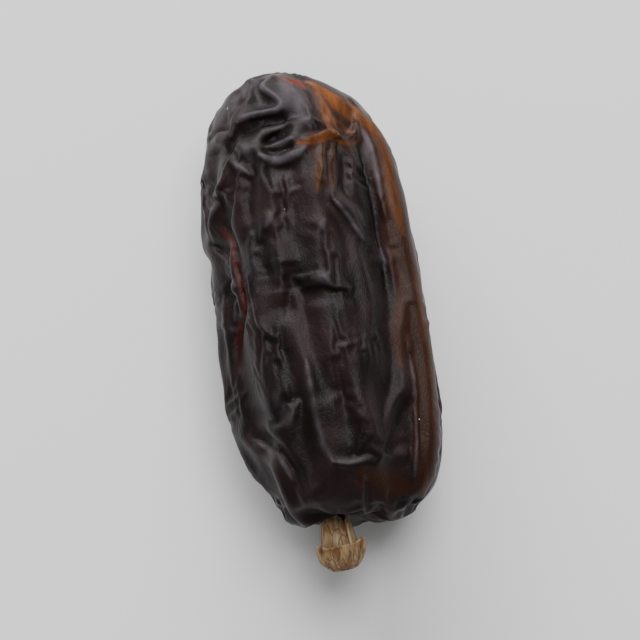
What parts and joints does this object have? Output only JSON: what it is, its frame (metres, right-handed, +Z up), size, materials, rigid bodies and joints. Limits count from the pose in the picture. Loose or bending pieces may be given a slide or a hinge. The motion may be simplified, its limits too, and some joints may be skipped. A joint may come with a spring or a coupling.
{
  "type": "date",
  "caption": "Whole dried date lying on its side: long wrinkled dark fruit with a small woody cap of petals and calyx at its stalk end.",
  "frame": {"origin": "on the surface that the date lies on, under the middle of the whole date", "axes": "+Y along the date from the stalk end to the rounded tip, +Z up, +X to the side with the loose ridge of skin"},
  "size_m": [0.0228, 0.0536, 0.0205],
  "materials": {
    "date_skin": "glossy wrinkled dried fruit skin, near black with caramel ridges",
    "cap_petals": "matt, dry and fibrous",
    "cap_cup": "matt, dry and fibrous"
  },
  "bodies": {
    "root": {"date_fruit": "date_skin", "cap_petal_1": "cap_petals", "cap_petal_2": "cap_petals", "cap_petal_3": "cap_petals", "cap_cup": "cap_cup"}
  },
  "joints": []
}
